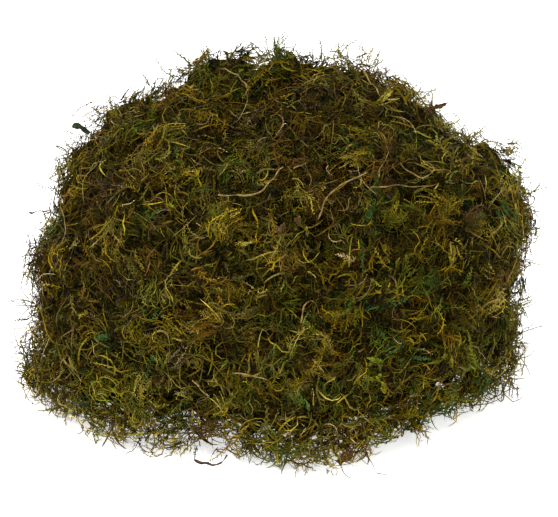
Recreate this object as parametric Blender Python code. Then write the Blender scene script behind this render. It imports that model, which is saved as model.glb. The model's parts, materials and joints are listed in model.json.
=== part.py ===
"""A clump of loose preserved moss: torn tufts heaped on a flat surface, with the straws, twigs, bark and
leaves that are caught in them. Run it with: blender --background --python part.py

Units are metres, +Z is up, and the origin is on the surface, under the middle of the heap. -Y is the front.
Each tuft is one solid that reaches the tips of its own fibres. The tufts press against each other on flat
inner sides and bulge outside, so that a crease runs between every two of them.
"""

import math

import bmesh
import bpy
from mathutils import Vector, noise
from mathutils.bvhtree import BVHTree

MM = 0.001

# The heap as a whole
HEAP_WIDTH = 227 * MM
HEAP_DEPTH = 198 * MM
HEAP_HEIGHT = 139 * MM
WAIST_HEIGHT = 30 * MM  # where the heap is widest
UNDERCUT = 58 * MM  # how far below the waist the same roundness would close, so the foot stays wide
SIDE_ROUNDNESS = 2.6  # 2 is an ellipse seen from the side, and more is squarer
SWELLS = (  # middle of a swelling or a hollow, how wide it is, both in mm, and how far it moves the face
    ((20, 15, 138), 34, 0.08),  # the ridge on top
    ((75, 20, 112), 34, -0.08),  # the right shoulder
    ((108, 10, 88), 34, 0.08),  # the right side, high up
    ((112, -10, 25), 28, -0.08),  # the right side, low down
    ((-95, -50, 5), 42, 0.12),  # the foot, front left
    ((92, -30, 0), 30, 0.08),  # the foot, right
    ((75, -70, 0), 30, -0.1),  # the foot, front right
    ((20, -100, 0), 36, 0.08),  # the foot, front
)

# The tufts
TUFT_GAP = 0.4 * MM
EDGE_SHARPNESS = 10  # how tightly a tuft rounds over from its inner sides to its outer face
LUMP_HEIGHT = 0.075
LUMP_SIZE = 26 * MM

# A ring of tufts is (height, share of the way out to the heap's face, turn in degrees, names by bearing)
FOOT_RING = (
    34 * MM, 0.68, -84,
    ["tuft_front", "tuft_front_right", "tuft_right", "tuft_right_back", "tuft_back_right",
     "tuft_back_left", "tuft_left_back", "tuft_left", "tuft_front_left"],
)
INNER_RING = (
    28 * MM, 0.22, -30,
    ["inner_right", "inner_back", "inner_left"],
)
SHOULDER_RING = (
    78 * MM, 0.58, -108,
    ["shoulder_front", "shoulder_front_right", "shoulder_right", "shoulder_back_right",
     "shoulder_back_left", "shoulder_left", "shoulder_front_left"],
)
CROWN_RING = (
    108 * MM, 0.42, -70,
    ["crown_front", "crown_right", "crown_back", "crown_left"],
)
RINGS = (FOOT_RING, INNER_RING, SHOULDER_RING, CROWN_RING)
SHIFT = 14 * MM  # how far a tuft's middle strays from its even place in the ring
SHIFT_SEED = 5  # another number gives another heap of the same kind
TUFT_MATERIAL = {
    "moss_gold": ("tuft_front", "tuft_right", "tuft_back_left", "shoulder_front", "shoulder_left",
                  "shoulder_back_right", "crown_left", "inner_left"),
    "moss_olive": ("tuft_front_left", "tuft_right_back", "tuft_left_back", "shoulder_right",
                   "shoulder_back_left", "crown_right", "inner_right"),
    "moss_green": ("tuft_front_right", "tuft_back_right", "shoulder_front_right", "crown_back"),
    "moss_brown": ("tuft_left", "shoulder_front_left", "crown_front", "inner_back"),
}

# What is caught in the moss was dropped on the heap from the front and above. A route is written in
# millimetres as seen along that direction: to the right of the heap's middle, and up from its foot.
LAY_PITCH = math.radians(28)
LAY_FROM = Vector((0, -math.cos(LAY_PITCH), math.sin(LAY_PITCH)))
LAY_UP = Vector((0, math.sin(LAY_PITCH), math.cos(LAY_PITCH)))
LAY_RIGHT = Vector((1, 0, 0))
REST_GAP = 0.5 * MM
BENDING = 30  # curvature per metre that a straw takes to follow the heap
STEEPEST = 1.0  # how fast it may fall away to the back, so that it stands out in the air past the brow
ROUTE_STEP = 3 * MM
PUSHES = 6

STRAWS = {  # name: (thickness in mm, route)
    "straw_long": (1.1, [(-27, 73), (-14, 72.5), (-8, 75.5), (-3, 80), (0.5, 85)]),
    "straw_short": (1.0, [(4, 84), (10.6, 86.5)]),
    "straw_bent": (1.0, [(14.5, 62.5), (17.5, 69.5), (21, 74), (26, 77.5), (35.5, 82.5)]),
    "straw_level": (0.9, [(37, 76), (47.5, 77), (56, 76.5), (66, 78)]),
    "straw_curl": (0.9, [(50, 86), (54, 82.5), (59, 80.8), (63, 82), (64.5, 84.5), (62, 86.8), (58.5, 86)]),
    "straw_upright": (0.9, [(40, 80), (44.5, 91.5)]),
    "straw_crown_right": (1.2, [(35, 128), (38.7, 122), (43, 115)]),
    "straw_crown_left": (0.8, [(-26, 128), (-19, 125), (-15, 118), (-16, 110), (-21.5, 102)]),
    "straw_hook": (0.9, [(-53.5, 15.5), (-49, 15.8), (-47.5, 12), (-47.5, 2)]),
    "straw_foot_left": (1.1, [(-95, 3), (-90, -1.5), (-86, -7)]),
    "straw_foot_front": (1.0, [(-38, -5), (-34, -9), (-30.5, -13.5)]),
    "straw_low": (1.0, [(-21, -2), (-13.5, -2.5), (-6, -4.5)]),
    "straw_side": (0.9, [(-95, 69), (-92.7, 64), (-93.5, 57), (-95, 52)]),
    "straw_arch": (0.9, [(7.5, 19.5), (9.2, 26), (11.5, 28.2), (14, 26), (17.5, 20)]),
}
TWIGS = {
    "twig_left": (2.2, [(-110, 66), (-103, 67), (-97.5, 66.5)]),
    "twig_foot": (2.0, [(-38, -40), (-31, -42), (-25.6, -40.5), (-22.5, -37)]),
    "twig_forked": (1.3, [(36, -36), (39, -41), (39.6, -44), (45, -46)]),
}
FLAKES = {  # name: (width in mm, thickness in mm, route)
    "bark_front": (4.2, 0.9, [(23.5, -41), (27, -38.5), (30.5, -35.5)]),
    "bark_middle": (4.0, 0.8, [(-2.5, 57), (1.5, 61)]),
    "bark_orange": (2.2, 0.7, [(6, 60.5), (7.5, 64)]),
    "bark_sliver": (1.8, 0.8, [(62, 111), (67.5, 112.5), (73, 115)]),
    "leaf_green": (5.5, 0.5, [(-36.5, 132), (-35, 137.5), (-33.5, 142.5)]),
    "leaf_curl": (2.6, 0.5, [(-85, 101), (-88.5, 104.5), (-91.5, 103.5)]),
}

COLOURS = {  # name: (linear red, green, blue, roughness)
    "moss_gold": (0.16, 0.115, 0.018, 0.85),
    "moss_olive": (0.085, 0.078, 0.012, 0.85),
    "moss_green": (0.035, 0.062, 0.012, 0.85),
    "moss_brown": (0.075, 0.045, 0.014, 0.9),
    "straw": (0.36, 0.24, 0.08, 0.6),
    "twig": (0.05, 0.028, 0.014, 0.85),
    "bark": (0.13, 0.055, 0.022, 0.85),
    "leaf": (0.02, 0.09, 0.02, 0.5),
}


def make_materials():
    """One Principled material for each colour."""
    made = {}
    for name, (red, green, blue, roughness) in COLOURS.items():
        material = bpy.data.materials.new(name)
        material.use_nodes = True
        shader = material.node_tree.nodes["Principled BSDF"]
        shader.inputs["Base Color"].default_value = (red, green, blue, 1)
        shader.inputs["Roughness"].default_value = roughness
        shader.inputs["Metallic"].default_value = 0
        made[name] = material
    return made


def add_object(name, data, material):
    made = bpy.data.objects.new(name, data)
    bpy.context.scene.collection.objects.link(made)
    made.data.materials.append(material)
    return made


def swell(point):
    """How far the face stands out at this place, as a share of its distance, or stands in if below 0."""
    return sum(
        share * math.exp(-(((point - Vector(middle) * MM).length / (width * MM)) ** 2))
        for middle, width, share in SWELLS
    )


def heap_share(point):
    """0 in the middle of the heap at its waist, 1 on its face, and more outside it."""
    across = math.hypot(point.x / (HEAP_WIDTH / 2), point.y / (HEAP_DEPTH / 2))
    above = point.z - WAIST_HEIGHT
    reach = HEAP_HEIGHT - WAIST_HEIGHT if above > 0 else UNDERCUT
    share = (across**SIDE_ROUNDNESS + abs(above / reach) ** SIDE_ROUNDNESS) ** (1 / SIDE_ROUNDNESS)
    return share / (1 + swell(point))


def distance_to_face(start, direction):
    """How far the heap's face is from a point inside it, by halving."""
    near, far = 0.0, HEAP_WIDTH
    for _ in range(24):
        middle = (near + far) / 2
        if heap_share(start + direction * middle) < 1:
            near = middle
        else:
            far = middle
    return near


def tuft_middles():
    """The middle of each tuft: evenly round its ring, then moved a little so that no two are alike."""
    middles = {}
    for height, share, turn, names in RINGS:
        for index, name in enumerate(names):
            bearing = math.radians(turn + 360 * index / len(names))
            direction = Vector((math.cos(bearing), math.sin(bearing), 0))
            reach = distance_to_face(Vector((0, 0, height)), direction)
            even = direction * reach * share + Vector((0, 0, height))
            middles[name] = even + noise.noise_vector(even / (30 * MM)) * SHIFT
    return middles


def tuft_reach(middle, direction, sides):
    """How far a tuft reaches from its middle: softly the least of the heap's face and its inner sides."""
    face = distance_to_face(middle, direction)
    lump = noise.noise((middle + direction * face) / LUMP_SIZE)
    limits = [face * (1 + LUMP_HEIGHT * lump)]
    for normal, offset in sides:
        facing = normal.dot(direction)
        if facing > 0:
            limits.append(offset / facing)
    nearest = min(limits)
    soft = nearest * sum((limit / nearest) ** -EDGE_SHARPNESS for limit in limits) ** (-1 / EDGE_SHARPNESS)
    floor = -middle.z / direction.z if direction.z < 0 else math.inf
    return min(soft, floor), floor <= soft


def make_tuft(name, middles, material):
    """An icosphere whose points are pulled in or out to the tuft's reach. What meets the floor is flat."""
    middle = middles[name]
    sides = []
    for other, other_middle in middles.items():
        if other != name:
            apart = other_middle - middle
            sides.append((apart.normalized(), (apart.length - TUFT_GAP) / 2))
    shape = bmesh.new()
    bmesh.ops.create_icosphere(shape, subdivisions=3, radius=1)
    for vertex in shape.verts:
        direction = vertex.co.normalized()
        reach, on_floor = tuft_reach(middle, direction, sides)
        vertex.co = middle + direction * reach
        if on_floor:
            vertex.co.z = 0
    mesh = bpy.data.meshes.new(name)
    shape.to_mesh(mesh)
    shape.free()
    mesh.shade_smooth()
    mesh.set_sharp_from_angle(angle=math.radians(40))
    return add_object(name, mesh, material)


def heap_surface(tufts):
    """The joined outside of the tufts, for laying things on."""
    points, faces = [], []
    for tuft in tufts:
        start = len(points)
        points.extend(vertex.co.copy() for vertex in tuft.data.vertices)
        faces.extend([start + index for index in face.vertices] for face in tuft.data.polygons)
    return BVHTree.FromPolygons(points, faces)


def smooth_route(route):
    """Points every few millimetres on a smooth curve through the route's own points, in metres."""
    ends = [route[0], *route, route[-1]]
    corners = [Vector((x * MM, y * MM)) for x, y in ends]
    points = []
    for a, b, c, d in zip(corners, corners[1:], corners[2:], corners[3:]):
        steps = max(2, round((c - b).length / ROUTE_STEP))
        for step in range(steps):
            t = step / steps
            points.append(
                0.5 * (2 * b + (c - a) * t + (2 * a - 5 * b + 4 * c - d) * t**2
                       + (3 * b - a - 3 * c + d) * t**3)
            )
    points.append(corners[-1])
    return points


def lift_at(surface, across, up, spread):
    """How far forward the heap comes within this spread of a place on the route, or None beside the heap."""
    found = []
    for right, rise in ((0, 0), (spread, 0), (-spread, 0), (0, spread), (0, -spread)):
        start = LAY_RIGHT * (across + right) + LAY_UP * (up + rise) + LAY_FROM * HEAP_WIDTH * 2
        hit = surface.ray_cast(start, -LAY_FROM)[0]
        if hit is not None:
            found.append(hit.dot(LAY_FROM))
    return max(found) if found else None


def lifts_along(flat, spread, surface):
    """The lift at each point of the route. Beside the heap it is that of the nearest point on the heap."""
    found = [lift_at(surface, p.x, p.y, spread) for p in flat]
    known = [index for index, lift in enumerate(found) if lift is not None]
    lifts = []
    for index, p in enumerate(flat):
        floor = (spread - p.y * LAY_UP.z) / LAY_FROM.z
        nearest = min(known, key=lambda other: abs(other - index), default=None)
        lifts.append(floor if nearest is None else max(floor, found[nearest]))
    return [max(lift - STEEPEST * (p - q).length for lift, q in zip(lifts, flat)) for p in flat]


def lay(route, spread, surface):
    """The route laid on the heap: it clears every high place and bends no more than a straw would."""
    flat = smooth_route(route)
    lifts = lifts_along(flat, spread + REST_GAP, surface)
    last = len(flat) - 1
    chord = [lifts[0] + (lifts[-1] - lifts[0]) * index / last for index in range(last + 1)]
    above = [lift - straight for lift, straight in zip(lifts, chord)]
    rested = [max(high - BENDING / 2 * (p - q).length ** 2 for high, q in zip(above, flat)) for p in flat]
    laid = [
        LAY_RIGHT * p.x + LAY_UP * p.y + LAY_FROM * (straight + bump + spread + REST_GAP)
        for p, straight, bump in zip(flat, chord, rested)
    ]
    return push_clear(laid, spread + REST_GAP, surface)


def push_clear(points, room, surface):
    """Moves each point out along the nearest face until it stands clear of the moss, and above the floor."""
    for _ in range(PUSHES):
        for point in points:
            nearest, normal, _index, _distance = surface.find_nearest(point)
            height = (point - nearest).dot(normal)
            inside = height < 0
            if inside or (point - nearest).length < room:
                point += normal * (room - height)
            point.z = max(point.z, room)
    return points


def make_stalk(name, thickness, points, material, thin_end):
    """A round stalk with filled ends that tapers to one end."""
    curve = bpy.data.curves.new(name, "CURVE")
    curve.dimensions = "3D"
    curve.bevel_depth = thickness * MM / 2
    curve.bevel_resolution = 1
    curve.use_fill_caps = True
    spline = curve.splines.new("POLY")
    spline.points.add(len(points) - 1)
    for index, (target, point) in enumerate(zip(spline.points, points)):
        target.co = (*point, 1)
        target.radius = 1 - (1 - thin_end) * index / (len(points) - 1)
    return add_object(name, curve, material)


def make_flake(name, width, thickness, points, material):
    """A flat strip, narrower at its ends, thickened on the side away from the moss."""
    shape = bmesh.new()
    rows = []
    for index, point in enumerate(points):
        ahead = points[min(index + 1, len(points) - 1)] - points[max(index - 1, 0)]
        side = ahead.cross(LAY_FROM).normalized()
        share = index / (len(points) - 1)
        half = width * MM / 2 * (0.45 + 0.55 * math.sin(math.pi * share))
        rows.append([shape.verts.new(point + side * half * place) for place in (-1, 0, 1)])
    for low, high in zip(rows, rows[1:]):
        for place in range(2):
            shape.faces.new((low[place], low[place + 1], high[place + 1], high[place]))
    mesh = bpy.data.meshes.new(name)
    shape.to_mesh(mesh)
    shape.free()
    made = add_object(name, mesh, material)
    solidify = made.modifiers.new("Thickness", "SOLIDIFY")
    solidify.thickness = thickness * MM
    solidify.offset = 0
    return made


def centre_on_origin(objects):
    """Moves everything together so that the middle of the footprint is the origin."""
    bpy.context.view_layer.update()
    graph = bpy.context.evaluated_depsgraph_get()
    points = []
    for made in objects:
        evaluated = made.evaluated_get(graph)
        points.extend(vertex.co.copy() for vertex in evaluated.to_mesh().vertices)
        evaluated.to_mesh_clear()
    middle_x = (min(p.x for p in points) + max(p.x for p in points)) / 2
    middle_y = (min(p.y for p in points) + max(p.y for p in points)) / 2
    for made in objects:
        made.location = Vector((-middle_x, -middle_y, 0))


def main():
    for old in list(bpy.data.objects):
        bpy.data.objects.remove(old)
    noise.seed_set(SHIFT_SEED)
    materials = make_materials()
    middles = tuft_middles()
    tufts = []
    for material_name, names in TUFT_MATERIAL.items():
        for name in names:
            tufts.append(make_tuft(name, middles, materials[material_name]))
    surface = heap_surface(tufts)
    caught = []
    for name, (thickness, route) in STRAWS.items():
        points = lay(route, thickness * MM / 2, surface)
        caught.append(make_stalk(name, thickness, points, materials["straw"], 0.6))
    for name, (thickness, route) in TWIGS.items():
        points = lay(route, thickness * MM / 2, surface)
        caught.append(make_stalk(name, thickness, points, materials["twig"], 0.7))
    for name, (width, thickness, route) in FLAKES.items():
        points = lay(route, width * MM / 2, surface)
        material = materials["leaf" if name.startswith("leaf") else "bark"]
        caught.append(make_flake(name, width, thickness, points, material))
    centre_on_origin(tufts + caught)


main()
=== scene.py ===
import json
import math

import bpy
import numpy as np
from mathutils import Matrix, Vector, noise
from mathutils.bvhtree import BVHTree


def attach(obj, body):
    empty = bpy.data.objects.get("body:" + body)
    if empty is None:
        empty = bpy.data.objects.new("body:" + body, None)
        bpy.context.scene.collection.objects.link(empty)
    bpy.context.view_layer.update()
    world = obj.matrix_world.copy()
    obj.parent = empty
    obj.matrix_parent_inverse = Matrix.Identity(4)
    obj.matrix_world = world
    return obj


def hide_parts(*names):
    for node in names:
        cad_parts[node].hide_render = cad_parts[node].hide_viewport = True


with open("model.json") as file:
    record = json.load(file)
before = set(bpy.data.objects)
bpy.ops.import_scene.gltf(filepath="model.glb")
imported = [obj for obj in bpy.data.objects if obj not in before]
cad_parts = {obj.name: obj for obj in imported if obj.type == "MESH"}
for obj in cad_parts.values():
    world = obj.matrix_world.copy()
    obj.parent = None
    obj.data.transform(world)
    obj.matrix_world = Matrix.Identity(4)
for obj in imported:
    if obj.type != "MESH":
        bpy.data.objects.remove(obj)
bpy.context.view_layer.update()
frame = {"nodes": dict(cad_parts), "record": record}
mm = 0.001

camera = {  # in front of the clump, a little above
    "pitch": 28,  # degrees above the floor
    "distance": 1.6,
    "viewWidth": 0.2511,  # how much the view spans from side to side, at the clump
    "aim": (-0.0005, 0.0223, 0.0419),
}


def makeCamera():
    pitch = math.radians(camera["pitch"])
    aim = Vector(camera["aim"])
    place = aim + Vector((0, -math.cos(pitch), math.sin(pitch))) * camera["distance"]
    bpy.ops.object.camera_add(location=place, rotation=(math.pi / 2 - pitch, 0, 0))
    made = bpy.context.object
    made.name = "camera"
    made.data.lens = made.data.sensor_width * camera["distance"] / camera["viewWidth"]
    bpy.context.scene.camera = made


studio = {  # floor and light
    "floorSize": 8,
    "floorColour": (0.94, 0.94, 0.94),
    "floorGlow": 0.6,  # a lit table top, so that the open fringe stands against light
    "floorRoughness": 0.9, "floorSpecular": 0.1,
    "lampAim": (0, 0, 0.05),
    "skyStrength": 0.85,
    "lamps": [  # name, place, size, power
        ("keyLamp", (-0.6, -0.8, 1.6), 0.6, 26),
        ("fillLamp", (1.2, -0.8, 0.9), 1.2, 7),
        ("backLamp", (0.3, 1.3, 1.2), 1.2, 10),
    ],
}


def makeStudio():
    bpy.ops.mesh.primitive_plane_add(size=studio["floorSize"], location=(0, 0, 0))
    floor = bpy.context.object
    floor.name = "floor"
    paint, _tree, shader = newMaterial("floorPaint", studio["floorRoughness"])
    shader.inputs["Base Color"].default_value = (*studio["floorColour"], 1)
    shader.inputs["Specular IOR Level"].default_value = studio["floorSpecular"]
    shader.inputs["Emission Color"].default_value = (1, 1, 1, 1)
    shader.inputs["Emission Strength"].default_value = studio["floorGlow"]
    floor.data.materials.append(paint)
    for name, place, size, power in studio["lamps"]:
        bpy.ops.object.light_add(type="AREA", location=place)
        lamp = bpy.context.object
        lamp.name = name
        lamp.data.size = size
        lamp.data.energy = power
        towards = Vector(studio["lampAim"]) - Vector(place)
        lamp.rotation_euler = towards.to_track_quat("-Z", "Y").to_euler()
    world = bpy.data.worlds.new("studioSky")
    bpy.context.scene.world = world
    world.use_nodes = True
    sky = world.node_tree.nodes["Background"]
    sky.inputs["Color"].default_value = (1, 1, 1, 1)
    sky.inputs["Strength"].default_value = studio["skyStrength"]
    bpy.context.scene.view_settings.view_transform = "Standard"


mossHues = {  # linear colours of single shoots
    "pale": (0.290, 0.215, 0.090), "umber": (0.034, 0.020, 0.002), "russet": (0.100, 0.050, 0.004),
    "gold": (0.150, 0.104, 0.003), "straw": (0.178, 0.145, 0.028), "olive": (0.060, 0.054, 0.002),
    "lime": (0.086, 0.096, 0.007), "green": (0.032, 0.058, 0.008), "deep": (0.016, 0.036, 0.010),
    "plum": (0.046, 0.032, 0.022),
}
mossRamps = {  # slot: hue and its place; 0 is a dead pale shoot, then from old brown to fresh green
    "moss_gold": {"pale": 0, "umber": 0.04, "russet": 0.2, "gold": 0.36, "straw": 0.52, "olive": 0.66,
                  "lime": 0.8, "green": 0.96},
    "moss_olive": {"pale": 0, "plum": 0.04, "russet": 0.18, "olive": 0.34, "gold": 0.48, "straw": 0.64,
                   "lime": 0.78, "deep": 0.92},
    "moss_green": {"pale": 0, "umber": 0.04, "russet": 0.16, "gold": 0.34, "olive": 0.5, "lime": 0.64,
                   "green": 0.78, "deep": 0.94},
    "moss_brown": {"pale": 0, "plum": 0.04, "russet": 0.26, "umber": 0.42, "gold": 0.54, "straw": 0.68,
                   "olive": 0.82, "green": 0.96},
}
mossFinish = {"roughness": 0.45, "specular": 0.03, "speckleSize": 1.1, "speckle": (0.55, 1.4)}


def newMaterial(name, roughness):
    made = bpy.data.materials.new(name)
    made.use_nodes = True
    shader = made.node_tree.nodes["Principled BSDF"]
    shader.inputs["Roughness"].default_value = roughness
    return made, made.node_tree, shader


def noiseNode(tree, size, detail, stretch=(1, 1, 1)):
    # a pattern whose grain is size millimetres
    place = tree.nodes.new("ShaderNodeTexCoord")
    mapping = tree.nodes.new("ShaderNodeMapping")
    mapping.inputs["Scale"].default_value = stretch
    made = tree.nodes.new("ShaderNodeTexNoise")
    made.inputs["Scale"].default_value = 1 / (size * mm)
    made.inputs["Detail"].default_value = detail
    tree.links.new(place.outputs["Object"], mapping.inputs["Vector"])
    tree.links.new(mapping.outputs["Vector"], made.inputs["Vector"])
    return made.outputs["Fac"]


def rampNode(tree, value, stops):
    made = tree.nodes.new("ShaderNodeValToRGB")
    ramp = made.color_ramp
    while len(ramp.elements) < len(stops):
        ramp.elements.new(0.5)
    for element, (place, colour) in zip(ramp.elements, stops):
        element.position = place
        element.color = (*colour, 1)
    tree.links.new(value, made.inputs["Fac"])
    return made.outputs["Color"]


def spreadNode(tree, value, low, high):
    # noise from 0.3 to 0.7 spread between low and high
    made = tree.nodes.new("ShaderNodeMapRange")
    made.inputs["From Min"].default_value = 0.3
    made.inputs["From Max"].default_value = 0.7
    made.inputs["To Min"].default_value = low
    made.inputs["To Max"].default_value = high
    tree.links.new(value, made.inputs["Value"])
    return made.outputs["Result"]


def multiply(tree, colour, shade):
    # one colour times another
    made = tree.nodes.new("ShaderNodeMix")
    made.data_type = "RGBA"
    made.blend_type = "MULTIPLY"
    made.inputs["Factor"].default_value = 1
    tree.links.new(colour, made.inputs["A"])
    tree.links.new(shade, made.inputs["B"])
    return made.outputs["Result"]


def bumpNode(tree, shader, height, strength, depth):
    made = tree.nodes.new("ShaderNodeBump")
    made.inputs["Strength"].default_value = strength
    made.inputs["Distance"].default_value = depth * mm
    tree.links.new(height, made.inputs["Height"])
    tree.links.new(made.outputs["Normal"], shader.inputs["Normal"])


def attributeNode(tree, name):
    made = tree.nodes.new("ShaderNodeAttribute")
    made.attribute_name = name
    return made


def makeMossMaterial(slot):
    made, tree, shader = newMaterial(slot + "_strand", mossFinish["roughness"])
    stops = [(place, mossHues[hue]) for hue, place in mossRamps[slot].items()]
    hue = rampNode(tree, attributeNode(tree, "tint").outputs["Fac"], stops)
    # the light attribute: each strand's random tone, with painted shade deep in the bed and in its dents,
    # painted light on the fringe, and a darker root
    lit = multiply(tree, hue, attributeNode(tree, "light").outputs["Color"])
    speckle = noiseNode(tree, mossFinish["speckleSize"], 2)  # fine mottling along each strand
    mottled = multiply(tree, lit, spreadNode(tree, speckle, *mossFinish["speckle"]))
    tree.links.new(mottled, shader.inputs["Base Color"])
    shader.inputs["Specular IOR Level"].default_value = mossFinish["specular"]
    return made


def slotOf(node):
    for row in frame["record"]["subparts"]:
        if row["node"] == node:
            return row["material_slot"]


def makeActive(made):
    bpy.ops.object.select_all(action="DESELECT")
    made.select_set(True)
    bpy.context.view_layer.objects.active = made


def mergedCopy(node, name):
    # a closed copy of a CAD node's loose triangles
    made = bpy.data.objects.new(name, frame["nodes"][node].data.copy())
    bpy.context.scene.collection.objects.link(made)
    made.data.materials.clear()
    makeActive(made)
    bpy.ops.object.mode_set(mode="EDIT")
    bpy.ops.mesh.select_all(action="SELECT")
    bpy.ops.mesh.remove_doubles(threshold=0.01 * mm)
    bpy.ops.object.mode_set(mode="OBJECT")
    return made


def applyModifier(made, kind, **settings):
    added = made.modifiers.new(kind.lower(), kind)
    for key, value in settings.items():
        setattr(added, key, value)
    makeActive(made)
    bpy.ops.object.modifier_apply(modifier=added.name)


def meshArrays(made):
    mesh = made.data
    places = np.zeros(len(mesh.vertices) * 3)
    mesh.vertices.foreach_get("co", places)
    normals = np.zeros(len(mesh.vertices) * 3)
    mesh.vertices.foreach_get("normal", normals)
    mesh.calc_loop_triangles()
    corners = np.zeros(len(mesh.loop_triangles) * 3, np.int32)
    mesh.loop_triangles.foreach_get("vertices", corners)
    return places.reshape(-1, 3), normals.reshape(-1, 3), corners.reshape(-1, 3)


def finishPiece(made, material, slot, *nodes):
    made.data.shade_smooth()
    made.data.materials.append(material)
    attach(made, "root")
    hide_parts(*nodes)


def unit(v):
    return v / np.maximum(np.linalg.norm(v, axis=-1, keepdims=True), 1e-9)


def fieldAt(points, size, seed):
    # smooth noise, mostly from -0.6 to 0.6, at each point; size in mm
    shift = Vector((seed * 7.3, seed * 3.1, seed * 5.7))
    return np.array([noise.noise(Vector(p) / (size * mm) + shift) for p in points])


def vectorFieldAt(points, size, seed):
    # three such fields, as a direction
    return np.stack([fieldAt(points, size, seed + k) for k in range(3)], axis=-1)


# the skin is one closed surface over all the tufts, with the creases between them bridged; in mm
skin = {"voxel": 3.2, "bridge": 8.0, "lower": 3.0, "smooth": 6}
swell = {"size": 17.0, "height": 8.0, "seed": 71}  # how unevenly the moss bed stands up
hollows = [  # dents in the moss bed: size across, depth, seed, and the noise value at which a dent starts
    (19.0, 4.5, 21, 0.10),
    (8.5, 3.5, 27, 0.16),
]
hollowRim = 0.3  # how much further the noise rises until the dent is at its deepest


def tuftNodes():
    kinds = ("tuft_", "inner_", "shoulder_", "crown_")
    return sorted(name for name in frame["nodes"] if name.startswith(kinds))


def makeSkin(copies):
    # all tufts joined, grown until the creases close, then shrunk below their surface
    mesh = bpy.data.meshes.new("skin")
    points, faces = [], []
    for made in copies.values():
        places, _normals, corners = meshArrays(made)
        faces += (corners + len(points)).tolist()
        points += places.tolist()
    mesh.from_pydata(points, [], faces)
    made = bpy.data.objects.new("skin", mesh)
    bpy.context.scene.collection.objects.link(made)
    applyModifier(made, "REMESH", mode="VOXEL", voxel_size=skin["voxel"] * mm)
    for move in (skin["bridge"], -skin["bridge"] - skin["lower"]):
        applyModifier(made, "DISPLACE", strength=move * mm, mid_level=0)
        applyModifier(made, "REMESH", mode="VOXEL", voxel_size=skin["voxel"] * mm)
    applyModifier(made, "SMOOTH", factor=0.5, iterations=skin["smooth"])
    return made


def hollowAt(points):
    # how deep the moss bed is dented at each point, in mm
    depth = -swell["height"] * fieldAt(points, swell["size"], swell["seed"])
    for size, deep, seed, threshold in hollows:
        depth += deep * np.clip((fieldAt(points, size, seed) - threshold) / hollowRim, 0, 1)
    return depth


strandKinds = {  # lengths, stem radii (girth) and fronds in mm, bends in radians per mm, angles in degrees
    "plume": {  # a feathered shoot: a stem with side shoots in one plane
        "share": 0.28, "length": (9, 18), "steps": 6, "girth": (0.20, 0.09), "bend": (0.03, 0.17),
        "coil": 0.10, "rise": 0.25, "stray": 0.45, "fronds": 12, "frondLength": 2.6, "frondWidth": 0.40,
        "frondAngle": 50, "tint": -0.03,
    },
    "shoot": {  # a short curly shoot with a few leaves
        "share": 0.26, "length": (6, 13), "steps": 6, "girth": (0.26, 0.10), "bend": (0.08, 0.38),
        "coil": 0.16, "rise": 0.34, "stray": 0.8, "fronds": 4, "frondLength": 1.3, "frondWidth": 0.40,
        "frondAngle": 42, "tint": 0,
    },
    "curl": {  # a bare shoot wound into a hook or a ring
        "share": 0.24, "length": (8, 18), "steps": 8, "girth": (0.23, 0.11), "bend": (0.18, 0.46),
        "coil": 0.08, "rise": 0.4, "stray": 1.2, "fronds": 0, "tint": -0.06,
    },
    "hair": {  # a long thin stalk
        "share": 0.08, "length": (12, 28), "steps": 8, "girth": (0.19, 0.09), "bend": (0.02, 0.15),
        "coil": 0.06, "rise": 0.4, "stray": 1.2, "fronds": 0, "tint": -0.1,
    },
    "leafy": {  # a soft shoot with broad leaves
        "share": 0.12, "length": (5, 9), "steps": 5, "girth": (0.25, 0.14), "bend": (0.03, 0.16),
        "coil": 0.10, "rise": 0.5, "stray": 0.7, "fronds": 10, "frondLength": 1.9, "frondWidth": 0.60,
        "frondAngle": 36, "tint": 0.22,
    },
    "straggler": {  # a long shoot that stands away from the rest
        "share": 0.02, "length": (9, 16), "steps": 8, "girth": (0.21, 0.10), "bend": (0.03, 0.24),
        "coil": 0.10, "rise": 1.1, "stray": 1.5, "fronds": 3, "frondLength": 1.6, "frondWidth": 0.40,
        "frondAngle": 45, "tint": 0.04,
    },
    "under": {  # an old flattened shoot, a plain ribbon low in the bed
        "share": 0.62, "length": (8, 19), "steps": 5, "girth": (0.40, 0.19), "bend": (0.04, 0.26),
        "coil": 0.10, "rise": 0.12, "stray": 1.0, "fronds": 0, "tint": -0.08,
    },
}
kindNames = list(strandKinds)
drawCount = 6  # random draws that shape one strand: length, top, bend, rise, phase and coil
bed = {  # sizes in mm
    "strands": 25500,  # in all
    "depth": (0.5, 4.6),  # how far below the skin a strand is rooted
    "flowSize": 14.0,  # how wide a patch of strands that lie the same way is
    "kindSize": 13.0,  # how wide a patch of one kind of shoot is
    "plumes": (3.0, 0.15, 3),  # how strongly they gather, and the least and the most there are of them
    "leafy": (-3.5, 0.1, 4),
    "round": 55.0,  # the bed's own roundness
    "top": 5.8,  # how far above its root the tip of the steepest strand is held
    "hold": 0.16,  # how firmly a strand follows the bed
    "floorGap": 0.3,
    "pale": 0.07,  # share of dead, pale shoots in some kinds
    "paleKinds": ("shoot", "curl", "hair", "straggler"),
    "footHeight": 6, "footSlope": -0.7,  # a low face that looks down this much is the underside
    "underShare": 0.15,  # of the strands that an open side has, on the underside
    "thick": (0.75, 1.35),
}
fringe = {  # the open fringe round the foot
    "height": 26.0, "depth": 10.0, "out": 3.5,  # how deep its strands are rooted, and how far out
    "share": 2.1,  # how many more strands it has, how much thicker and how long they are; tint and light are painted light: its strands are drawn greener and lighter, as if lit through from the floor
    "thick": 0.75, "long": 0.75, "stray": 0.8, "tint": 0.08, "light": 0.5,
}
hueField = {"size": 12.0, "fineSize": 2.6, "fine": 0.6, "middle": 0.46, "spread": 0.56, "scatter": 0.12}
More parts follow.
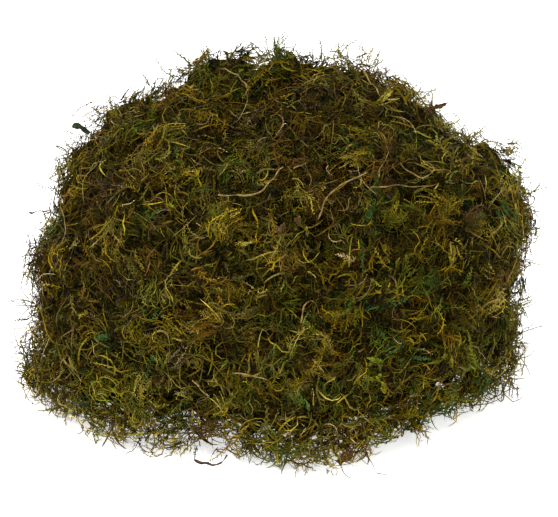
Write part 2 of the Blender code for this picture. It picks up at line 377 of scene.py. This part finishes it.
# how light each strand is drawn: a random tone (scatter); painted shade darkens strands rooted deep in the
# bed (shallow, sunk) and in its dents (hollow)
lightField = {
    "scatter": (0.05, 0.56), "shallow": 1.15, "sunk": 0.5, "hollow": 0.04, "limits": (0.15, 2.5),
    "root": 0.45, "tip": 0.8,  # a strand is darker at its root: partly older growth, partly painted shade deep in the bed
}
bunches = {  # the second line says how far a strand strays from the one it follows, spread in mm
    "kinds": ("plume", "shoot", "curl", "leafy"), "leaders": 0.12, "size": (3, 10), "share": 0.42,
    "spread": 1.9, "stray": 0.18, "tint": 0.05, "light": 0.32, "axis": 0.15, "draws": 0.07,
}
seeds = {"flow": 11, "kind": 61, "hue": 31, "fineHue": 41}
strandSeed = 5
growth = {
    "coil": 3.4, "tilt": 0.5,  # how much a strand winds and how far its flat side tips over
    "pullMost": 0.6, "pull": 0.35,  # back to the bed
    "floorSink": 0.15, "floorLevel": 0.3,  # what is left of a strand's way down once it meets the floor
}
frond = {
    "first": 0.10, "span": 0.86,  # where on the stem the side leaves sit
    "lean": 0.25, "size": (0.55, 1.2), "width": (0.7, 1.2), "lift": (0.05, 0.3),  # how they vary
    "taper": (1.15, 0.75), "widest": 0.45, "fold": 0.5, "sweep": 0.7, "droop": 0.25,
    "ages": (0, 0.15, 0.35, 0.15),
}


def kindNumbers(names):
    return [kindNames.index(name) for name in names]


def between(limits, share):
    return limits[0] + (limits[1] - limits[0]) * share


def growPaths(roots, kind):
    # points and frames along every strand at once; everything is (strand, step, xyz)
    root, normal, axis, tilt, draws = [roots[key] for key in ("root", "normal", "axis", "tilt", "draws")]
    lengthShare, topShare, bendShare, riseShare, phase, coil = [draws[:, k:k + 1] for k in range(drawCount)]
    steps = kind["steps"]
    step = between(kind["length"], lengthShare) * mm / steps
    centre = root - normal * bed["round"] * mm
    top = topShare ** 2 * kind["rise"] * bed["top"] * mm
    turn = (coil - 0.5) * growth["coil"] * kind["coil"] / mm
    bend = between(kind["bend"], bendShare) / mm
    way = unit(roots["heading"] + normal * riseShare * kind["rise"])
    point = root
    points, flats, sides, ways = [], [], [], []
    for index in range(steps + 1):
        outward = unit(point - centre)
        flat = outward + tilt * growth["tilt"]
        flat = unit(flat - way * np.sum(flat * way, axis=1, keepdims=True))
        points.append(point)
        flats.append(flat)
        sides.append(np.cross(flat, way))
        ways.append(way)
        across = unit(axis - way * np.sum(axis * way, axis=1, keepdims=True))
        other = np.cross(way, across)
        angle = phase * 2 * math.pi + turn * step * index
        curl = (across * np.cos(angle) + other * np.sin(angle)) * bend * step
        height = np.linalg.norm(point - centre, axis=1, keepdims=True) - bed["round"] * mm
        pull = outward * (top * index / steps - height) / mm * bed["hold"]
        pull = np.clip(pull, -growth["pullMost"], growth["pullMost"])
        way = unit(way + curl + pull * step / mm * growth["pull"])
        point = point + way * step
        low = bed["floorGap"] * mm
        under = point[:, 2] < low
        point[under, 2] = low + (low - point[under, 2]) * growth["floorSink"]
        way[under, 2] = np.abs(way[under, 2]) * growth["floorLevel"]
    return [np.stack(rows, axis=1) for rows in (points, flats, sides, ways)]


def stemMesh(paths, girth, thick):
    # a three-sided stem that closes to a point at both ends
    points, flats, sides, _ways = paths
    count, rings = points.shape[0], points.shape[1]
    along = np.linspace(0, 1, rings)[1:-1]
    radius = between(girth, along)[None, :, None] * mm * thick[:, None, None]
    inner, flats, sides = points[:, 1:-1], flats[:, 1:-1], sides[:, 1:-1]
    turns = (math.pi / 2, math.pi * 7 / 6, math.pi * 11 / 6)
    body = [inner + radius * (math.sin(turn) * flats + math.cos(turn) * sides) for turn in turns]
    middle = np.stack(body, axis=2).reshape(count, -1, 3)
    verts = np.concatenate([points[:, :1], middle, points[:, -1:]], axis=1)
    last = verts.shape[1] - 1
    faces = [(0, 1 + (k + 1) % 3, 1 + k) for k in range(3)]
    for ring in range(rings - 3):
        here = 1 + 3 * ring
        for k in range(3):
            a, b = here + k, here + (k + 1) % 3
            faces += [(a, b, b + 3), (a, b + 3, a + 3)]
    here = last - 3
    faces += [(here + k, here + (k + 1) % 3, last) for k in range(3)]
    ages = np.concatenate([[0], np.repeat(along, 3), [1]])
    return verts, np.array(faces), np.tile(ages, (count, 1))


def ribbonMesh(paths, girth, thick):
    # a flat strip with pointed ends
    points, _flats, sides, _ways = paths
    count, rings = points.shape[0], points.shape[1]
    along = np.linspace(0, 1, rings)[1:-1]
    radius = between(girth, along)[None, :, None] * mm * thick[:, None, None]
    inner, sides = points[:, 1:-1], sides[:, 1:-1]
    edges = np.stack([inner - radius * sides, inner + radius * sides], axis=2)
    verts = np.concatenate([points[:, :1], edges.reshape(count, -1, 3), points[:, -1:]], axis=1)
    last = verts.shape[1] - 1
    faces = [(0, 2, 1), (last - 2, last - 1, last)]
    for here in range(1, last - 3, 2):
        faces += [(here, here + 1, here + 3), (here, here + 3, here + 2)]
    ages = np.concatenate([[0], np.repeat(along, 2), [1]])
    return verts, np.array(faces), np.tile(ages, (count, 1))


def frondMesh(paths, kind, rng):
    # side leaves: a folded, pointed blade each, by turns left and right
    points, flats, sides, ways = paths
    count, rings = points.shape[0], points.shape[1]
    amount = kind["fronds"]
    verts, ages = [], []
    angle = math.radians(kind["frondAngle"])
    for index in range(amount):
        along = frond["first"] + frond["span"] * index / max(1, amount - 1)
        place = along * (rings - 1)
        low = min(int(place), rings - 2)
        mix = place - low
        base = points[:, low] * (1 - mix) + points[:, low + 1] * mix
        way, side, flat = ways[:, low], sides[:, low], flats[:, low]
        hand = 1 if index % 2 else -1
        lean = angle + rng.normal(0, frond["lean"], (count, 1))
        taper = frond["taper"][0] - frond["taper"][1] * along
        size = kind["frondLength"] * mm * taper * rng.uniform(*frond["size"], (count, 1))
        half = kind["frondWidth"] * mm / 2 * rng.uniform(*frond["width"], (count, 1))
        lift = flat * rng.normal(*frond["lift"], (count, 1))
        out = unit(way * np.cos(lean) + side * hand * np.sin(lean) + lift)
        width = unit(np.cross(flat, out)) * half
        middle = base + out * size * frond["widest"] + flat * half * frond["fold"]
        sweep = way * rng.uniform(0, frond["sweep"], (count, 1))
        tip = base + unit(out + sweep - flat * frond["droop"]) * size
        verts += [base, middle + width, tip, middle - width]
        ages += [min(1, along + later) for later in frond["ages"]]
    verts = np.stack(verts, axis=1)
    verts[:, :, 2] = np.maximum(verts[:, :, 2], bed["floorGap"] * mm * 0.5)
    faces = []
    for index in range(amount):
        k = 4 * index
        faces += [(k, k + 1, k + 2), (k, k + 2, k + 3)]
    return verts, np.array(faces), np.tile(np.array(ages), (count, 1))


def kindRow(key):
    return np.array([kind[key] for kind in strandKinds.values()])


def rootStrands(places, normals, corners, rng):
    # where each strand starts, its bed's normal, its heading, kind, colour, thickness and shaping draws
    count = bed["strands"]
    first, second, third = [places[corners[:, k]] for k in range(3)]
    height = places[corners].mean(axis=1)[:, 2]
    cross = np.cross(second - first, third - first)
    weights = np.linalg.norm(cross, axis=1)
    underside = (height < bed["footHeight"] * mm) & (unit(cross)[:, 2] < bed["footSlope"])
    weights *= np.where(underside, bed["underShare"], 1)
    weights *= 1 + fringe["share"] * np.clip(1 - height / (fringe["height"] * mm), 0, 1)
    picked = rng.choice(len(corners), size=count, p=weights / weights.sum())
    share = rng.dirichlet((1, 1, 1), count)[:, :, None]
    point = np.sum(places[corners[picked]] * share, axis=1)
    normal = unit(np.sum(normals[corners[picked]] * share, axis=1))
    flow = vectorFieldAt(point, bed["flowSize"], seeds["flow"])
    flow = unit(flow - normal * np.sum(flow * normal, axis=1, keepdims=True))
    shares = kindRow("share")[:, None] * np.ones(count)
    lean = fieldAt(point, bed["kindSize"], seeds["kind"])
    for name, key in (("plume", "plumes"), ("leafy", "leafy")):  # each gathers where the other is rare
        strength, least, most = bed[key]
        shares[kindNames.index(name)] *= np.clip(1 + strength * lean, least, most)
    steps = np.cumsum(shares / shares.sum(axis=0), axis=0)
    kinds = (rng.uniform(0, 1, count) > steps).sum(axis=0).clip(0, len(kindNames) - 1)
    low = np.clip(1 - point[:, 2] / (fringe["height"] * mm), 0, 1)  # 1 at the floor, 0 above the fringe
    stray = (rng.normal(0, 1, count) * (kindRow("stray")[kinds] + fringe["stray"] * low))[:, None]
    heading = flow * np.cos(stray) + np.cross(normal, flow) * np.sin(stray)
    hollow = hollowAt(point)
    sunk = rng.uniform(0, 1, count)
    sunk = np.where(kinds == kindNames.index("under"), 0.5 + 0.5 * sunk, sunk)  # in the lower half
    depth = bed["depth"][0] + sunk * (bed["depth"][1] + fringe["depth"] * low) + hollow * (1 - low)
    depth -= fringe["out"] * low
    draws = rng.uniform(0, 1, (count, drawCount))
    draws[:, 0] = np.maximum(draws[:, 0], fringe["long"] * low)
    hue = fieldAt(point, hueField["size"], seeds["hue"])
    hue = hue + hueField["fine"] * fieldAt(point, hueField["size"] / hueField["fineSize"], seeds["fineHue"])
    tint = hueField["middle"] + hueField["spread"] * hue + rng.normal(0, hueField["scatter"], count)
    # painted light: fringe strands are shifted towards the fresher, greener end of the ramp, as if lit
    # through; each kind adds its own tint
    tint = tint + fringe["tint"] * low + kindRow("tint")[kinds]
    light = np.exp(rng.normal(*lightField["scatter"], count))
    # painted shade: strands rooted deeper and strands in the bed's dents are darker; painted light: strands
    # of the fringe are lighter
    light = light * (lightField["shallow"] - lightField["sunk"] * sunk)
    light = light * (1 - lightField["hollow"] * hollow) * (1 + fringe["light"] * low)
    pale = (rng.uniform(0, 1, count) < bed["pale"]) & np.isin(kinds, kindNumbers(bed["paleKinds"]))
    roots = {
        "root": point - normal * depth[:, None] * mm, "normal": normal, "heading": heading, "kinds": kinds,
        "tint": np.where(pale, 0, np.clip(tint, 0.05, 1)), "light": light,
        "thick": rng.uniform(*bed["thick"], count) * (1 + fringe["thick"] * low),
        "axis": unit(rng.normal(size=(count, 3))), "tilt": unit(rng.normal(size=(count, 3))),
        "draws": draws,
    }
    return gatherBunches(roots, rng)


def gatherBunches(roots, rng):
    # part of the strands grow beside another one of their own kind and follow its curve
    count = len(roots["kinds"])
    size = rng.integers(*bunches["size"], count)
    leaders = rng.permutation(count)[:round(count * bunches["leaders"])]
    fit = np.isin(roots["kinds"][leaders], kindNumbers(bunches["kinds"]))
    leaders = leaders[fit & (roots["tint"][leaders] > 0)]
    free = np.setdiff1d(np.arange(count), leaders)
    rng.shuffle(free)
    led = np.repeat(leaders, size[leaders])[:round(len(free) * bunches["share"])]
    followers = free[:len(led)]
    for key, row in roots.items():
        if key != "thick":
            row[followers] = row[led]
    vector = (len(led), 3)
    roots["root"][followers] += rng.normal(0, bunches["spread"] * mm, vector)
    roots["heading"][followers] = unit(roots["heading"][led] + rng.normal(0, bunches["stray"], vector))
    roots["tint"][followers] += rng.normal(0, bunches["tint"], len(led))
    roots["light"][followers] *= np.exp(rng.normal(0, bunches["light"], len(led)))
    roots["axis"][followers] = unit(roots["axis"][led] + rng.normal(0, bunches["axis"], vector))
    roots["draws"][followers] += rng.normal(0, bunches["draws"], (len(led), drawCount))
    roots["draws"] = np.clip(roots["draws"], 0, 1)
    roots["root"][:, 2] = np.maximum(roots["root"][:, 2], bed["floorGap"] * mm)
    roots["tint"] = np.clip(roots["tint"], 0, 1)
    roots["light"] = np.clip(roots["light"], *lightField["limits"])
    return roots


def growStrands(roots, mine, rng):
    # the strands of one tuft, as meshes with a colour at every point
    parts = []
    for number, (name, kind) in enumerate(strandKinds.items()):
        own = {key: row[mine & (roots["kinds"] == number)] for key, row in roots.items()}
        if not len(own["kinds"]):
            continue
        paths = growPaths(own, kind)
        makeBody = ribbonMesh if name == "under" else stemMesh
        shapes = [makeBody(paths, kind["girth"], own["thick"])]
        if kind["fronds"]:
            shapes.append(frondMesh(paths, kind, rng))
        for verts, faces, ages in shapes:
            # darker towards the root: partly older growth, partly painted shade deep in the bed
            lights = own["light"][:, None] * (lightField["root"] + lightField["tip"] * ages)
            parts.append((verts, faces, own["tint"][:, None] + 0 * ages, lights))
    return parts


def strandObject(name, parts):
    # one object of all the given strands, with their colours as attributes
    allVerts, allFaces, tints, lights = [], [], [], []
    total = 0
    for verts, faces, tint, light in parts:
        size = verts.shape[1]
        starts = total + np.arange(len(verts))[:, None, None] * size
        allVerts.append(verts.reshape(-1, 3))
        allFaces.append((faces[None] + starts).reshape(-1, 3))
        tints.append(tint.ravel())
        lights.append(light.ravel())
        total += verts.shape[0] * size
    mesh = bpy.data.meshes.new(name)
    mesh.from_pydata(np.concatenate(allVerts).tolist(), [], np.concatenate(allFaces).tolist())
    for key, values in (("tint", tints), ("light", lights)):
        attribute = mesh.attributes.new(key, "FLOAT", "POINT")
        attribute.data.foreach_set("value", np.concatenate(values).astype(np.float32))
    made = bpy.data.objects.new(name, mesh)
    bpy.context.scene.collection.objects.link(made)
    return made


# single wisps that stand out from the outline, placed as seen from the front
wisps = [  # kind, mm to the right, mm up in the view, heading in degrees, length, degrees per mm, tint
    ("hair", -114, 16.7, 181, 10, 1, 0.0), ("straggler", -113, 10, 172, 12, 2, 0.55),
    ("straggler", -113, 8, 190, 10, -3, 0.6), ("hair", -114, 51, 178, 8, -2, 0.0),
    ("hair", -112, 53, 110, 9, -4, 0.3), ("leafy", -110, 21, 186, 7, 0, 0.9),
    ("hair", -116, 25, 112, 7, 2, 0.0), ("leafy", -96, -19, 196, 11, -2, 0.75),
    ("leafy", -93, -20, 250, 8, 4, 0.7), ("hair", -97, -14, 165, 8, 5, 0.4),
    ("twig", -72, -22, 262, 15, 5, 0.1), ("twig", -71, -22, 250, 13, -1, 0.1),
    ("curl", -51, -41, 262, 16, 23, 0.8), ("leafy", -36, -42, 250, 7, 3, 0.8),
    ("hair", -28, -43, 220, 8, 6, 0.2), ("plume", 8, -43, 250, 9, 2, 0.5),
    ("plume", 12, -42, 268, 7, -4, 0.5), ("curl", 30, -41, 215, 14, 12, 0.75),
    ("twig", 33, -39, 40, 11, -16, 0.1), ("hair", 38, -43, 300, 8, 4, 0.7),
    ("straggler", 78, -33, 300, 7, 4, 0.7), ("hair", 92, -22, 320, 8, 5, 0.3),
    ("straggler", 100, -12, 335, 9, 3, 0.6), ("curl", 108, 4, 340, 10, 9, 0.5),
    ("hair", 112, 25, 10, 7, 4, 0.0), ("straggler", 111, 46, 342, 10, 2, 0.4),
    ("hair", 112, 60, 20, 8, -6, 0.5), ("leafy", 110, 76, 30, 7, 5, 0.8),
    ("leafy", 104, 86, 48, 7, 2, 0.7), ("straggler", 84, 108, 50, 7, 3, 0.5),
    ("hair", 69, 118, 60, 8, -6, 0.4), ("leafy", 42, 134, 75, 7, -3, 0.75),
    ("straggler", 30, 138, 95, 7, 4, 0.7), ("leafy", 25, 138, 70, 7, 5, 0.8),
    ("leafy", -3, 140, 62, 8, 3, 0.85), ("leafy", -1, 141, 118, 7, -4, 0.9),
    ("curl", -6, 140, 100, 9, 9, 0.8), ("hair", -17, 139, 110, 6, 5, 0.5),
    ("leafy", -58, 124, 112, 7, 3, 0.7), ("hair", -64, 121, 130, 8, 5, 0.3),
    ("straggler", -80, 106, 135, 8, 3, 0.6), ("curl", -92, 96, 150, 9, -8, 0.4),
    ("hair", -101, 84, 140, 8, 6, 0.5), ("straggler", -106, 70, 165, 8, 3, 0.6),
]
sprigs = [  # loose bunches of wisps: mm to the right, mm up in the view, spread in mm, how many
    (-3, 137, 9, 20), (23, 137, 6, 12), (37, 134, 5, 8), (-40, 133, 7, 8), (62, 121, 7, 8), (-72, 111, 7, 7),
    (88, 100, 7, 7), (-98, 84, 7, 6), (104, 78, 6, 6), (-106, 30, 9, 7), (108, 28, 9, 7),
]
sprigWisp = {
    "kinds": ("plume", "shoot", "leafy", "straggler", "curl"),
    "middle": 35,  # mm up in the view: the fans point away from there
    "below": 4, "heading": 30, "length": (7, 14), "bend": 7, "tint": (0.3, 0.9),
}
wispLook = {
    "steps": 12, "thick": 1.15, "root": 1.1, "tip": 0.3,
    "away": 500, "reach": 100, "stride": 4,  # mm along the line of sight, to find where a wisp is rooted
}
twigLike = {"girth": (0.55, 0.25), "fronds": 0}
greenLobe = [  # the arch of green shoots that stands at the top left, in place of a plain leaf
    ("leafy", -37.5, 135, 84, 13, -11, 0.92), ("leafy", -36, 136, 60, 9, 6, 0.96),
    ("leafy", -33, 136, 100, 8, 5, 0.9), ("leafy", -31, 136, 115, 8, -3, 0.95),
    ("hair", -29.5, 134, 100, 8, 6, 0.8), ("leafy", -34, 135, 85, 7, -5, 1.0),
]


def sprigWisps(rng):
    # every sprig's wisps, spread like a fan that points away from the middle of the clump
    made = []
    for across, up, spread, amount in sprigs:
        outward = math.degrees(math.atan2(up - sprigWisp["middle"], across))
        for _wisp in range(amount):
            kind = sprigWisp["kinds"][rng.integers(len(sprigWisp["kinds"]))]
            place = (across + rng.uniform(-spread, spread), up - rng.uniform(0, sprigWisp["below"]))
            heading = outward + rng.normal(0, sprigWisp["heading"])
            length = rng.uniform(*sprigWisp["length"])
            bend = rng.normal(0, sprigWisp["bend"])
            made.append((kind, *place, heading, length, bend, rng.uniform(*sprigWisp["tint"])))
    return made


def wispMesh(wisp, skinTree, rng):
    # a strand in the plane of the view, rooted where the line of sight meets the clump or comes nearest
    name, across, up, heading, length, bend, tint = wisp
    kind = strandKinds.get(name, twigLike)
    pitch = math.radians(camera["pitch"])
    right = Vector((1, 0, 0))
    above = Vector((0, math.sin(pitch), math.cos(pitch)))
    sight = Vector((0, math.cos(pitch), -math.sin(pitch)))
    start = (right * across + above * up) * mm
    hit = skinTree.ray_cast(start - sight * (wispLook["away"] * mm), sight)[0]
    if hit is None:
        reach, stride = wispLook["reach"], wispLook["stride"]
        near = [skinTree.find_nearest(start + sight * t * mm) for t in range(-reach, reach + 1, stride)]
        hit = min(near, key=lambda found: found[3])[0]
    point = hit
    angle = math.radians(heading)
    steps = wispLook["steps"]
    points, sides, ways = [], [], []
    for _step in range(steps + 1):
        way = right * math.cos(angle) + above * math.sin(angle)
        low = bed["floorGap"] * mm - point.z
        points.append(point - sight * (low / math.sin(pitch)) if low > 0 else point)
        sides.append(right * math.sin(angle) - above * math.cos(angle))
        ways.append(way)
        point = point + way * (length * mm / steps)
        angle += math.radians(bend) * length / steps
    flats = [-sight] * len(points)
    paths = [np.array([[tuple(v) for v in row]]) for row in (points, flats, sides, ways)]
    shapes = [stemMesh(paths, kind["girth"], np.array([wispLook["thick"]]))]
    if kind["fronds"]:
        shapes.append(frondMesh(paths, kind, rng))
    root, tip = wispLook["root"], wispLook["tip"]
    return hit, [(verts, faces, tint + 0 * ages, root + tip * ages) for verts, faces, ages in shapes]


felt = {  # the matted middle behind the strands, sizes in mm
    "inset": 5.0, "lump": 2.6, "lumpSize": 6.0, "fine": 1.0, "fineSize": 2.6, "lift": 1.0, "keep": 0.55,
    "footInset": 13.0, "footHeight": 34.0, "footRagged": 12.0, "raggedSize": 11.0,
    "seeds": {"ragged": 57, "lump": 51, "fine": 53},
    "roughness": 0.9, "specular": 0.03, "bump": (1.0, 0.8),
    "fibres": [(3.0, 0.05, 0.5, 1.0), (2.0, 0.06, 0.45, 0.6)],  # size, width, noise value, strength
    "fibreStretch": 0.22, "fibreCurl": 1.4,
    # painted shade: the inner moss is drawn as dark as the shade deep between the strands, lighter along the
    # fibre lines and darkest in the gaps between them
    "hues": [(0.10, (0.004, 0.003, 0.001)), (0.40, (0.013, 0.010, 0.002)), (0.70, (0.043, 0.034, 0.006)),
             (0.95, (0.115, 0.093, 0.018))],
    "patchSize": 9,
    "patchHues": [(0.35, (1.0, 0.75, 0.9)), (0.50, (1.0, 0.95, 0.5)), (0.65, (0.7, 1.0, 0.6))],
    "shadeSize": 7, "shade": (0.15, 1.35),
}


def mathNode(tree, operation, *values):
    made = tree.nodes.new("ShaderNodeMath")
    made.operation = operation
    for socket, value in zip(made.inputs, values):
        if isinstance(value, (int, float)):
            socket.default_value = value
        else:
            tree.links.new(value, socket)
    return made.outputs["Value"]


def highest(tree, layers):
    made = layers[0]
    for layer in layers[1:]:
        made = mathNode(tree, "MAXIMUM", made, layer)
    return made


def fibreNode(tree, size, width, value, strength):
    # thin curly lines that cross each other: as high as strength along their middle, 0 between them
    long = felt["fibreStretch"]
    lines = []
    for stretch in ((long, 1, 1), (1, long, 1), (1, 1, long)):
        grain = noiseNode(tree, size, 1, stretch)
        grain.node.inputs["Distortion"].default_value = felt["fibreCurl"]
        away = mathNode(tree, "ABSOLUTE", mathNode(tree, "SUBTRACT", grain, value))
        lines.append(mathNode(tree, "MAXIMUM", mathNode(tree, "MULTIPLY_ADD", away, -1 / width, 1), 0))
    return mathNode(tree, "MULTIPLY", highest(tree, lines), strength)


def makeFeltMaterial():
    # painted shade: the matted inner moss is drawn as dark as the shade deep in the bed
    made, tree, shader = newMaterial("mattedMoss", felt["roughness"])
    fibre = highest(tree, [fibreNode(tree, *row) for row in felt["fibres"]])
    colour = rampNode(tree, fibre, felt["hues"])
    patch = rampNode(tree, noiseNode(tree, felt["patchSize"], 3), felt["patchHues"])
    shade = spreadNode(tree, noiseNode(tree, felt["shadeSize"], 2), *felt["shade"])
    tree.links.new(multiply(tree, multiply(tree, colour, patch), shade), shader.inputs["Base Color"])
    bumpNode(tree, shader, fibre, *felt["bump"])
    shader.inputs["Specular IOR Level"].default_value = felt["specular"]
    return made


def makeFelt(made):
    # the skin sunk behind the strands, most of all round the foot; it stands for the hidden inner tufts
    places, normals, _corners = meshArrays(made)
    low = np.clip(1 - places[:, 2] / (felt["footHeight"] * mm), 0, 1)
    ragged = felt["footRagged"] * fieldAt(places, felt["raggedSize"], felt["seeds"]["ragged"])
    inset = felt["inset"] + low * (felt["footInset"] + ragged) + hollowAt(places) * (1 - low)
    lumps = felt["lump"] * fieldAt(places, felt["lumpSize"], felt["seeds"]["lump"])
    inset += lumps + felt["fine"] * fieldAt(places, felt["fineSize"], felt["seeds"]["fine"])
    places -= normals * inset[:, None] * mm
    places[:, 2] = np.maximum(places[:, 2], felt["lift"] * mm)
    made.data.vertices.foreach_set("co", places.ravel())
    made.data.update()
    applyModifier(made, "DECIMATE", ratio=felt["keep"])
    made.name = made.data.name = "inner_felt"
    hidden = [name for name in tuftNodes() if name.startswith("inner_")]
    finishPiece(made, makeFeltMaterial(), "moss_brown", *hidden)


def makeTufts():
    # strands on every outer tuft; each strand belongs to the tuft that is nearest to its root
    rng = np.random.default_rng(strandSeed)
    names = tuftNodes()
    copies = {name: mergedCopy(name, name + "_copy") for name in names}
    skinObject = makeSkin(copies)
    skinArrays = meshArrays(skinObject)
    skinTree = BVHTree.FromPolygons(skinArrays[0].tolist(), skinArrays[2].tolist())
    print("skin made:", len(skinArrays[2]), "triangles")
    points, faces, owners = [], [], []
    outer = [name for name in names if not name.startswith("inner_")]
    for name in outer:
        places, _normals, corners = meshArrays(copies[name])
        faces += (corners + len(points)).tolist()
        points += places.tolist()
        owners += [name] * len(corners)
    for made in copies.values():
        bpy.data.objects.remove(made)
    tuftTree = BVHTree.FromPolygons(points, faces)
    roots = rootStrands(*skinArrays, rng)
    owner = np.array([owners[tuftTree.find_nearest(Vector(p))[2]] for p in roots["root"]])
    extras = {name: [] for name in outer}
    for wisp in wisps + sprigWisps(rng):
        spot, shapes = wispMesh(wisp, skinTree, rng)
        extras[owners[tuftTree.find_nearest(spot)[2]]] += shapes
    makeFelt(skinObject)
    mossMaterials = {slot: makeMossMaterial(slot) for slot in mossRamps}
    triangles = 0
    for name in outer:
        mine = owner == name
        made = strandObject(name + "_moss", growStrands(roots, mine, rng) + extras[name])
        finishPiece(made, mossMaterials[slotOf(name)], slotOf(name), name)
        triangles += len(made.data.polygons)
        print(name, mine.sum(), "strands", len(made.data.polygons), "triangles")
    shoots = [shape for wisp in greenLobe for shape in wispMesh(wisp, skinTree, rng)[1]]
    lobe = strandObject("leaf_green_shoots", shoots)
    finishPiece(lobe, mossMaterials["moss_green"], "leaf", "leaf_green")
    print("moss made:", triangles, "triangles")
    return skinTree


stalks = {  # sizes in mm
    "straw": {
        "slim": 0.10, "rough": 0.20, "roughSize": 1.8, "kink": 1.3, "kinkSize": 6.0, "gloss": 0.42,
        "grain": 0.9, "bump": (0.5, 0.15),
        "hues": [(0.30, (0.080, 0.046, 0.012)), (0.45, (0.150, 0.096, 0.026)), (0.58, (0.230, 0.155, 0.048)),
                 (0.72, (0.340, 0.250, 0.100))], "shine": 0.1,
    },
    "twig": {
        "slim": 0.45, "rough": 0.40, "roughSize": 2.2, "kink": 1.6, "kinkSize": 5.0, "gloss": 0.75,
        "grain": 1.2, "bump": (0.8, 0.3),
        "hues": [(0.32, (0.012, 0.008, 0.006)), (0.46, (0.035, 0.020, 0.014)), (0.60, (0.075, 0.042, 0.026)),
                 (0.72, (0.130, 0.090, 0.060))], "shine": 0.1,
    },
}
stalkSeeds = {"rough": 71, "kink": 73}
dryGrain = {  # shared by straws, twigs, bark and dry leaves
    "detail": 4, "stretch": (1, 1.3, 0.8),
    "patch": 6,  # how many times as wide as the grain its darker patches are
    "patchDetail": 2, "patchShade": (0.5, 1.3),
}


def makeGrainMaterial(name, look):
    # dry grain in the colours of look
    made, tree, shader = newMaterial(name, look["gloss"])
    grain = noiseNode(tree, look["grain"], dryGrain["detail"], dryGrain["stretch"])
    patch = noiseNode(tree, look["grain"] * dryGrain["patch"], dryGrain["patchDetail"])
    colour = rampNode(tree, grain, look["hues"])
    shade = spreadNode(tree, patch, *dryGrain["patchShade"])
    tree.links.new(multiply(tree, colour, shade), shader.inputs["Base Color"])
    shader.inputs["Specular IOR Level"].default_value = look["shine"]
    bumpNode(tree, shader, grain, *look["bump"])
    return made


def setPlaces(made, places):
    # new places for all points, none below the floor
    places[:, 2] = np.maximum(places[:, 2], bed["floorGap"] * mm)
    made.data.vertices.foreach_set("co", places.ravel())


def makeStalks():
    # straws and twigs: thinner than the solids, rough and kinked
    for kind, look in stalks.items():
        material = makeGrainMaterial(kind + "Skin", look)
        for node in sorted(name for name in frame["nodes"] if name.startswith(kind + "_")):
            made = mergedCopy(node, node + "_stalk")
            applyModifier(made, "SUBSURF", levels=1, render_levels=1)
            places, normals, _corners = meshArrays(made)
            thin = look["slim"] + look["rough"] * fieldAt(places, look["roughSize"], stalkSeeds["rough"])
            kinks = vectorFieldAt(places, look["kinkSize"], stalkSeeds["kink"]) * look["kink"]
            setPlaces(made, places + (kinks - normals * thin[:, None]) * mm)
            finishPiece(made, material, slotOf(node), node)
    print("straws and twigs made")


flakes = {  # sizes in mm
    "bark": {
        "levels": 2, "ragged": 1.4, "raggedSize": 2.4, "fine": 0.4, "fineSize": 0.9, "gloss": 0.7,
        "sink": 0.9, "grain": 0.7, "bump": (0.9, 0.3),
        "hues": [(0.32, (0.014, 0.008, 0.003)), (0.47, (0.046, 0.024, 0.007)), (0.60, (0.095, 0.052, 0.014)),
                 (0.74, (0.200, 0.140, 0.055))], "shine": 0.04,
    },
    "leaf": {
        "levels": 2, "ragged": 1.2, "raggedSize": 3.0, "fine": 0.25, "fineSize": 1.2, "gloss": 0.45,
        "sink": 0.4, "grain": 1.0, "bump": (0.6, 0.25),
        "hues": [(0.34, (0.010, 0.006, 0.004)), (0.48, (0.010, 0.020, 0.007)), (0.60, (0.024, 0.040, 0.010)),
                 (0.74, (0.070, 0.060, 0.020))], "shine": 0.06,
    },
}
flakeSeeds = {"ragged": 81, "fine": 87}


def makeFlakes(skinTree):
    # ragged flakes, sunk a little into the strands; shoots stand in for the green leaf
    for kind, look in flakes.items():
        material = makeGrainMaterial(kind + "Skin", look)
        nodes = sorted(name for name in frame["nodes"] if name.startswith(kind + "_"))
        for node in [name for name in nodes if name != "leaf_green"]:
            made = mergedCopy(node, node + "_flake")
            applyModifier(made, "SUBSURF", levels=look["levels"], render_levels=look["levels"])
            places, normals, _corners = meshArrays(made)
            ragged = vectorFieldAt(places, look["raggedSize"], flakeSeeds["ragged"]) * look["ragged"]
            fine = fieldAt(places, look["fineSize"], flakeSeeds["fine"]) * look["fine"]
            inward = skinTree.find_nearest(Vector(places.mean(axis=0)))[1]
            move = ragged + normals * fine[:, None] - np.array(inward) * look["sink"]
            setPlaces(made, places + move * mm)
            finishPiece(made, material, slotOf(node), node)
    print("bark flakes and leaves made")


bpy.ops.object.select_all(action="DESELECT")
makeCamera()
makeStudio()
print("camera, floor and lamps made")
skinTree = makeTufts()
makeStalks()
makeFlakes(skinTree)
